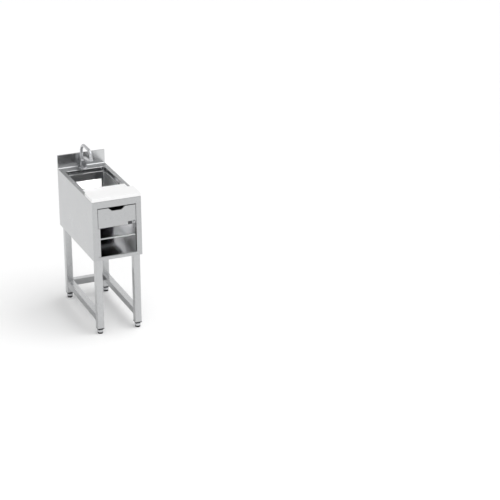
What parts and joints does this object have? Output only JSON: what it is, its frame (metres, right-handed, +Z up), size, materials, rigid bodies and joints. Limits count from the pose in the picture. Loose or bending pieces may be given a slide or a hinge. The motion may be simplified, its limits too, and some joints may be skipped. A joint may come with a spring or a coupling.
{
  "type": "bar sink station",
  "caption": "Narrow stainless steel bar module on legs, with a basin, swivelling tap, splashback, lift-off board, drawer and open niche with a shelf.",
  "frame": {"origin": "on the floor, under the middle of the station's box, with the feet in the middle of their range", "axes": "+Z up, -Y the front with the drawer and the niche, +X to the right seen from the front"},
  "size_m": [0.3, 0.6548, 0.9995],
  "materials": {
    "satin_steel": "satin stainless steel sheet and tube",
    "polished_steel": "bright rolled stainless steel sheet",
    "chrome": "polished chrome plate",
    "white_board": "matt white polyethylene",
    "white_card": "bare smooth white plastic",
    "black_plastic": "matt black plastic",
    "grey_plastic": "light grey waste fittings",
    "rubber": "black rubber",
    "dark_plate": "bare dark plate"
  },
  "bodies": {
    "station": {"worktop": "satin_steel", "splashback": "satin_steel", "side_panel_left": "satin_steel", "side_panel_right": "satin_steel", "front_frame": "satin_steel", "rear_panel": "satin_steel", "bottom_panel": "satin_steel", "basin_bowl": "polished_steel", "waste_flange": "chrome", "waste_gasket": "rubber", "waste_nut": "grey_plastic", "trap_body": "grey_plastic", "trap_cup": "grey_plastic", "trap_outlet": "grey_plastic", "niche_liner": "polished_steel", "niche_shelf": "polished_steel", "shelf_ledge": "polished_steel", "drawer_housing": "satin_steel", "drawer_runner_left": "satin_steel", "drawer_runner_right": "satin_steel", "basin_card": "white_card", "tap_base": "chrome", "tap_body": "chrome", "tap_washer": "rubber", "tap_nut": "chrome", "leg_front_left": "satin_steel", "leg_front_right": "satin_steel", "leg_rear_left": "satin_steel", "leg_rear_right": "satin_steel", "leg_bolt_front_left": "satin_steel", "leg_bolt_front_right": "satin_steel", "leg_bolt_rear_left": "satin_steel", "leg_bolt_rear_right": "satin_steel", "leg_cap_front_left": "black_plastic", "leg_cap_front_right": "black_plastic", "leg_cap_rear_left": "black_plastic", "leg_cap_rear_right": "black_plastic", "stretcher_left": "satin_steel", "stretcher_right": "satin_steel", "stretcher_rear": "satin_steel"},
    "board": {"cutting_board": "white_board"},
    "drawer": {"drawer_front": "satin_steel", "drawer_box": "polished_steel", "drawer_slide_left": "satin_steel", "drawer_slide_right": "satin_steel", "front_plate": "dark_plate", "bail_bracket": "chrome"},
    "bail": {"wire_bail": "chrome"},
    "spout": {"tap_spout": "chrome", "tap_aerator": "chrome"},
    "cartridge": {"tap_cartridge": "chrome"},
    "lever": {"tap_lever": "chrome"},
    "pad_front_left": {"foot_pad_front_left": "satin_steel"},
    "pad_front_right": {"foot_pad_front_right": "satin_steel"},
    "pad_rear_left": {"foot_pad_rear_left": "satin_steel"},
    "pad_rear_right": {"foot_pad_rear_right": "satin_steel"},
    "stem_front_left": {"foot_stem_front_left": "satin_steel"},
    "stem_front_right": {"foot_stem_front_right": "satin_steel"},
    "stem_rear_left": {"foot_stem_rear_left": "satin_steel"},
    "stem_rear_right": {"foot_stem_rear_right": "satin_steel"}
  },
  "joints": [
    {"name": "board_lift", "type": "slide", "parent": "station", "child": "board", "axis": [0, 0, 1], "range_m": [0, 0.06]},
    {"name": "drawer_slide", "type": "slide", "parent": "station", "child": "drawer", "axis": [0, -1, 0], "range_m": [0, 0.16]},
    {"name": "bail_swing", "type": "hinge", "parent": "drawer", "child": "bail", "pos_m": [0.1042, -0.3252, 0.6936], "axis": [-1, 0, 0], "range_deg": [0, 110]},
    {"name": "spout_swivel", "type": "hinge", "parent": "station", "child": "spout", "pos_m": [0, 0.2769, 0.874], "axis": [0, 0, 1], "range_deg": [-60, 60]},
    {"name": "lever_turn", "type": "hinge", "parent": "station", "child": "cartridge", "pos_m": [0, 0.2769, 0.894], "axis": [0, 0, 1], "range_deg": [-50, 50]},
    {"name": "lever_lift", "type": "hinge", "parent": "cartridge", "child": "lever", "pos_m": [0, 0.2769, 0.894], "axis": [-1, 0, 0], "range_deg": [0, 25]},
    {"name": "foot_height_front_left", "type": "slide", "parent": "station", "child": "pad_front_left", "axis": [0, 0, 1], "range_m": [-0.015, 0.005]},
    {"name": "foot_height_front_right", "type": "slide", "parent": "station", "child": "pad_front_right", "axis": [0, 0, 1], "range_m": [-0.015, 0.005]},
    {"name": "foot_height_rear_left", "type": "slide", "parent": "station", "child": "pad_rear_left", "axis": [0, 0, 1], "range_m": [-0.015, 0.005]},
    {"name": "foot_height_rear_right", "type": "slide", "parent": "station", "child": "pad_rear_right", "axis": [0, 0, 1], "range_m": [-0.015, 0.005]},
    {"name": "stem_screw_front_left", "type": "hinge", "parent": "pad_front_left", "child": "stem_front_left", "pos_m": [-0.118, -0.2946, 0.03], "axis": [0, 0, 1], "range_deg": [-3600, 1200]},
    {"name": "stem_screw_front_right", "type": "hinge", "parent": "pad_front_right", "child": "stem_front_right", "pos_m": [0.118, -0.2946, 0.03], "axis": [0, 0, 1], "range_deg": [-3600, 1200]},
    {"name": "stem_screw_rear_left", "type": "hinge", "parent": "pad_rear_left", "child": "stem_rear_left", "pos_m": [-0.118, 0.2874, 0.03], "axis": [0, 0, 1], "range_deg": [-3600, 1200]},
    {"name": "stem_screw_rear_right", "type": "hinge", "parent": "pad_rear_right", "child": "stem_rear_right", "pos_m": [0.118, 0.2874, 0.03], "axis": [0, 0, 1], "range_deg": [-3600, 1200]}
  ],
  "couplings": [
    {"joint": "stem_screw_front_left", "follows": "foot_height_front_left", "rad_per_m": 4188.8},
    {"joint": "stem_screw_front_right", "follows": "foot_height_front_right", "rad_per_m": 4188.8},
    {"joint": "stem_screw_rear_left", "follows": "foot_height_rear_left", "rad_per_m": 4188.8},
    {"joint": "stem_screw_rear_right", "follows": "foot_height_rear_right", "rad_per_m": 4188.8}
  ]
}
